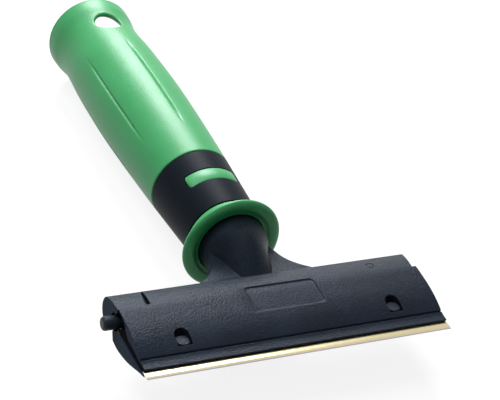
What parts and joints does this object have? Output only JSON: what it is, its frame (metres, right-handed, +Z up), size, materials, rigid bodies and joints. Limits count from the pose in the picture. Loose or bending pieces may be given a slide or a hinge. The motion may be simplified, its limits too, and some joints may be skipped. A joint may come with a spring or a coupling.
{
  "type": "glass scraper",
  "caption": "Hand glass scraper with a wide replaceable double-edged blade, a push-to-open clamp head and a soft two-tone grip with an open pole socket.",
  "frame": {"origin": "middle of the part's underside: half way along its length and width, at the lowest point of the collar's rim", "axes": "+Y along the handle from the blade towards the handle's rear end, +X along the blade to the right in the picture, +Z up out of the head's crowned side"},
  "size_m": [0.104, 0.1812, 0.033],
  "materials": {
    "black_moulding": "fine-grained glass-filled moulding",
    "black_core": "smooth satin",
    "green_soft": "soft satin",
    "blade_steel": "ground and polished",
    "bright_steel": "drawn"
  },
  "bodies": {
    "handle": {"handle_core": "black_core", "grip_cover": "green_soft", "thumb_collar": "green_soft", "window_pad": "green_soft", "retaining_screw": "bright_steel", "screw_washer": "bright_steel", "head_shell": "black_moulding", "hinge_pin_left": "bright_steel", "hinge_pin_right": "bright_steel", "return_spring": "bright_steel"},
    "lower_jaw": {"clamp_flap": "black_moulding", "blade": "blade_steel"},
    "release_bar": {"release_bar": "black_moulding"}
  },
  "joints": [
    {"name": "jaw_hinge", "type": "hinge", "parent": "handle", "child": "lower_jaw", "pos_m": [0.002, -0.06062, 0.016], "axis": [1, 0, 0], "range_deg": [0, 28], "stiffness_Nm_per_rad": 0.0201, "springref_deg": -28},
    {"name": "bar_push", "type": "slide", "parent": "handle", "child": "release_bar", "axis": [1, 0, 0], "range_m": [0, 0.004], "deforming": ["return_spring"]}
  ],
  "couplings": [
    {"joint": "bar_push", "follows": "jaw_hinge", "m_per_rad": 0.008185}
  ]
}
